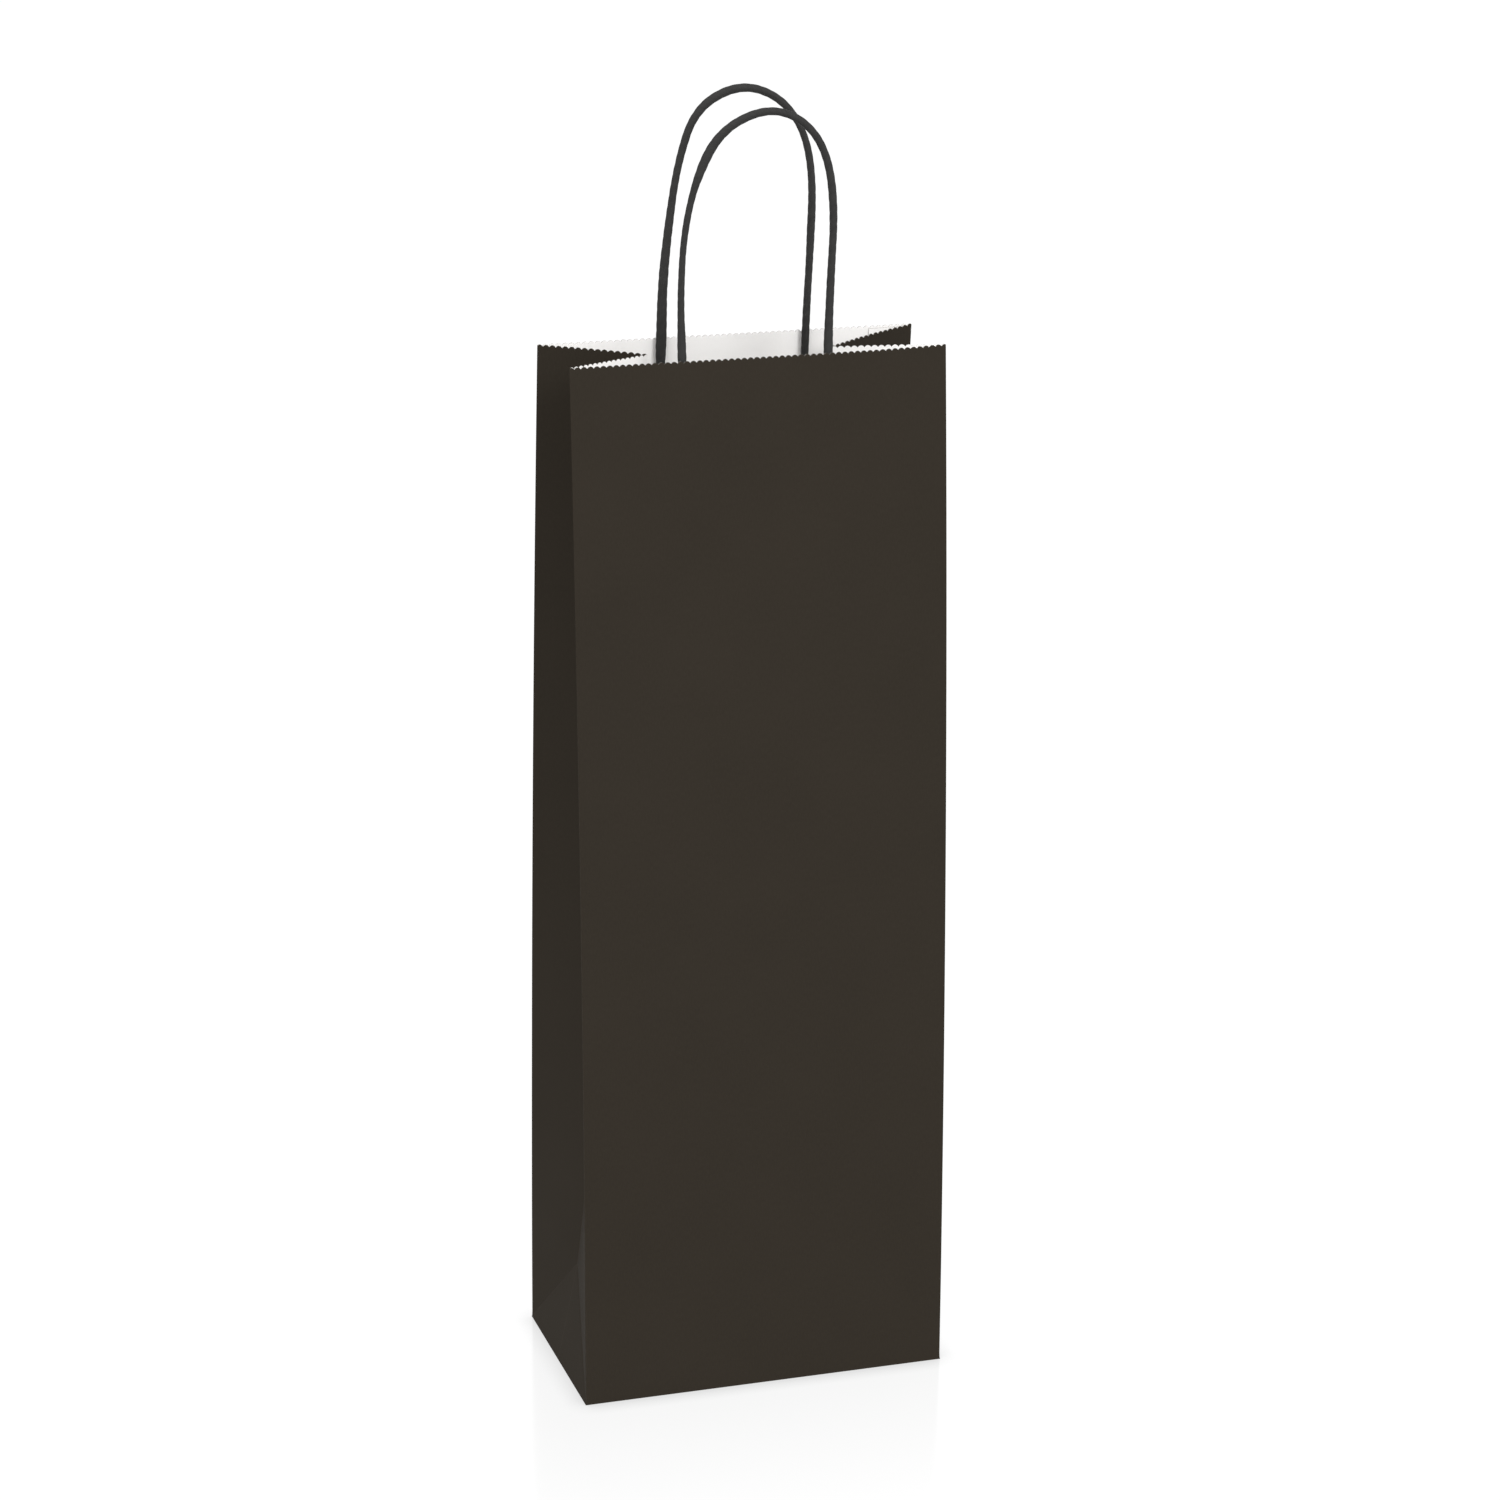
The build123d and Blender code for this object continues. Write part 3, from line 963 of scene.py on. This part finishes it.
def evenly(points, step):
    """The same line, with points about step apart."""
    lengths = [0.0]
    for before, after in zip(points, points[1:]):
        lengths.append(lengths[-1] + (after - before).length)
    places = []
    index = 0
    for target in spaced(0, lengths[-1], step):
        while index < len(points) - 2 and lengths[index + 1] < target:
            index += 1
        share = (target - lengths[index]) / (lengths[index + 1] - lengths[index])
        places.append(points[index].lerp(points[index + 1], share))
    return places


def twisted_radius(angle, along, seed):
    """Radius of the wound paper: two turns of groove, lumps, and slow changes."""
    turn = TWIST_STARTS * angle / 2 - TWIST_STARTS * math.pi * along / TWIST_PITCH
    groove = abs(math.sin(turn)) ** TWIST_ROUNDNESS
    slow = noise.noise(Vector((along / SWELL_LENGTH, seed, 0.5)))
    across = math.cos(angle) * LUMPS_AROUND
    other = math.sin(angle) * LUMPS_AROUND + seed
    lump = noise.noise(Vector((across, other, along / LUMP_LENGTH)))
    return 1 - TWIST_GROOVE * (1 - groove) + SWELL * slow + LUMP * lump


def thickness_at(side, share):
    """Thickness of a free cord at a share of its length."""
    steps = THICKNESS[side]
    place = share * (len(steps) - 1)
    index = min(int(place), len(steps) - 2)
    ease = (1 - math.cos(math.pi * (place - index))) / 2
    return (steps[index] * (1 - ease) + steps[index + 1] * ease) * MM


def bead_radius(angle, along, seed):
    """Radius of a lumpy bead of glue."""
    around = Vector((math.cos(angle), math.sin(angle) + seed, along / BEAD_LUMP_LENGTH))
    return 1 + BEAD_LUMP * noise.noise(around)


def tube(name, points, radius, sides, shape, seed, slot, material):
    """A closed tube along evenly spaced points. Where it is wider than the cord, it is flattened."""
    build = bmesh.new()
    flat = build.verts.layers.float_vector.new("flat")
    rings = []
    along = 0.0
    across = Vector((0, 1, 0))
    for i, point in enumerate(points):
        ahead = points[min(i + 1, len(points) - 1)] - points[max(i - 1, 0)]
        ahead.normalize()
        across = (across - ahead * across.dot(ahead)).normalized()
        other = ahead.cross(across)
        if i:
            along += (point - points[i - 1]).length
        ring = []
        for k in range(sides):
            angle = 2 * math.pi * k / sides
            size = radius * shape(angle, along, seed)
            deep = across * math.cos(angle) * min(size, CORD / 2)
            vert = build.verts.new(point + deep + other * math.sin(angle) * size)
            turned = angle - 2 * math.pi * along / TWIST_PITCH
            vert[flat] = (radius * math.cos(turned), along + seed, radius * math.sin(turned))
            ring.append(vert)
        rings.append(ring)
    for low, high in zip(rings, rings[1:]):
        for k in range(sides):
            after = (k + 1) % sides
            build.faces.new([low[k], low[after], high[after], high[k]])
    build.faces.new(rings[0][::-1])
    build.faces.new(rings[-1])
    return new_piece(name, mesh_from(name, build, CORD_SHARP), slot, material)


def handle_cord(side):
    """The free cord of a handle, twisted, from one patch end to the other."""
    side_name = SIDE_NAMES[side]
    points = evenly(nurbs_points(cord_route(side)), RING_STEP)
    length = sum((after - before).length for before, after in zip(points, points[1:]))

    def uneven_radius(angle, along, seed):
        swell = thickness_at(side, min(1, along / length)) / (2 * CORD_RADIUS)
        return swell * twisted_radius(angle, along, seed)

    piece = tube(
        f"{side_name}_cord", points, CORD_RADIUS, CORD_SIDES,
        uneven_radius, 3.0 * side, "cord_paper", CORD_PAINT,
    )
    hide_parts(f"{side_name}_handle")
    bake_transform(piece)


def glued_ends(side):
    """The ends of the same cord, flat against the panel under the patch cover."""
    side_name = SIDE_NAMES[side]
    parts = []
    for number, x in enumerate(HANDLES[side][0]):
        heights = spaced(PATCH_BOTTOM + CORD_INSET, PATCH_TOP - CORD_TUCK, RING_STEP)
        points = [panel_point(side, x * MM, height, CORD_DEPTH) for height in heights]
        parts.append(tube(
            f"{side_name}_cord_end_{number + 1}", points, CORD_RADIUS, CORD_SIDES,
            twisted_radius, 3.0 * side, "cord_paper", CORD_PAINT,
        ))
    for part in parts:
        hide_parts(f"{side_name}_handle_ends")
        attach(part, f"{side_name}_side")


def cover_rise(side, x, height):
    """How far the patch cover stands off the patch: it drapes over both cords."""
    rise = 0.0
    for leg in HANDLES[side][0]:
        away = abs(x - leg * MM) / DRAPE
        over_cord = math.exp(-(away**DRAPE_STEEPNESS))
        from_end = min(1, max(0, (height - PATCH_BOTTOM) / CORD_INSET))
        rise = max(rise, over_cord * from_end**2 * (3 - 2 * from_end))
    return (CORD + DRAPE_SLACK) * rise


def glue_bead(side, number, leg, hand):
    """A bead of glue along one edge of a glued cord end."""
    heights = spaced(PATCH_BOTTOM + CORD_INSET, PATCH_TOP + BEAD_PAST_PATCH, BEAD_STEP)
    x = leg + hand * BEAD_OFF_CORD
    points = [panel_point(side, x, height, 2 * PAPER + BEAD_RADIUS) for height in heights]
    bead = tube(
        f"{SIDE_NAMES[side]}_glue_bead_{number + 1}_{HAND_NAMES[hand]}", points, BEAD_RADIUS,
        BEAD_SIDES, bead_radius, 5.0 * number + hand, "glue", GLUE_PAINT,
    )
    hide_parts(f"{SIDE_NAMES[side]}_handle_glue")
    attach(bead, f"{SIDE_NAMES[side]}_side")


def handle_patch(side):
    """Two plies of white paper, with the cord's ends between them in beads of glue."""
    side_name = SIDE_NAMES[side]
    legs = [leg * MM for leg in HANDLES[side][0]]
    middle = sum(legs) / 2
    rows = spaced(PATCH_BOTTOM, PATCH_TOP, PATCH_CELL_HEIGHT)
    columns = spaced(middle - PATCH_HALF_WIDTH, middle + PATCH_HALF_WIDTH, PATCH_CELL_WIDTH)
    ply = grid_sheet(
        f"{side_name}_patch",
        lambda x, height: panel_point(side, x, height, PAPER),
        columns, rows, side, PAPER, "patch_paper", (PATCH,),
    )
    cover = grid_sheet(
        f"{side_name}_patch_over",
        lambda x, height: panel_point(side, x, height, 2 * PAPER + cover_rise(side, x, height)),
        columns, rows, side, PAPER, "patch_paper", (PATCH,),
    )
    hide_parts(f"{side_name}_patch_ply")
    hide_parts(f"{side_name}_patch_cover")
    for piece in (ply, cover):
        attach(piece, f"{side_name}_side")
    for number, leg in enumerate(legs):
        for hand in (LEFT, RIGHT):
            glue_bead(side, number, leg, hand)


for bag_side in (FRONT, BACK):
    handle_cord(bag_side)
    glued_ends(bag_side)
    handle_patch(bag_side)

# ---- Block bottom: the CAD solids, with their own paper ---------------------------------


def repaint(node, material):
    """Give a CAD node that stays a better material."""
    slots = frame["nodes"][node].data.materials
    slots.clear()
    slots.append(material)


for flap in ("front_bottom_flap", "back_bottom_flap", "left_end_flap", "right_end_flap"):
    repaint(flap, FLAP)
repaint("bottom_paste", GLUE_PAINT)

# ---- Studio ----------------------------------------------------------------------------

FLOOR_HALF = 6.0


def make_floor():
    """A wide flat floor under the bag."""
    build = bmesh.new()
    turns = ((-1, -1), (1, -1), (1, 1), (-1, 1))
    build.faces.new([build.verts.new((x * FLOOR_HALF, y * FLOOR_HALF, 0)) for x, y in turns])
    mesh = bpy.data.meshes.new("floor")
    build.to_mesh(mesh)
    build.free()
    mesh.materials.append(floor_surface())
    floor = bpy.data.objects.new("floor", mesh)
    bpy.context.scene.collection.objects.link(floor)


def make_light(name, place, target, size, power):
    """A round soft light that looks at its target."""
    data = bpy.data.lights.new(name, "AREA")
    data.shape = "DISK"
    data.size = size
    data.energy = power
    light = bpy.data.objects.new(name, data)
    light.location = place
    light.rotation_euler = (Vector(target) - Vector(place)).to_track_quat("-Z", "Y").to_euler()
    bpy.context.scene.collection.objects.link(light)


def make_world():
    """Plain white all round."""
    world = bpy.data.worlds.new("studio")
    world.use_nodes = True
    background = world.node_tree.nodes["Background"]
    background.inputs["Color"].default_value = (1, 1, 1, 1)
    background.inputs["Strength"].default_value = 1.0
    bpy.context.scene.world = world


make_floor()
make_world()
make_light("key", place=(1.0, -2.5, 1.7), target=(0, 0, 0.2), size=1.2, power=41)
make_light("top", place=(-1.2, -0.8, 2.6), target=(0, 0, 0), size=2.4, power=39)
bpy.context.scene.view_settings.view_transform = "Standard"
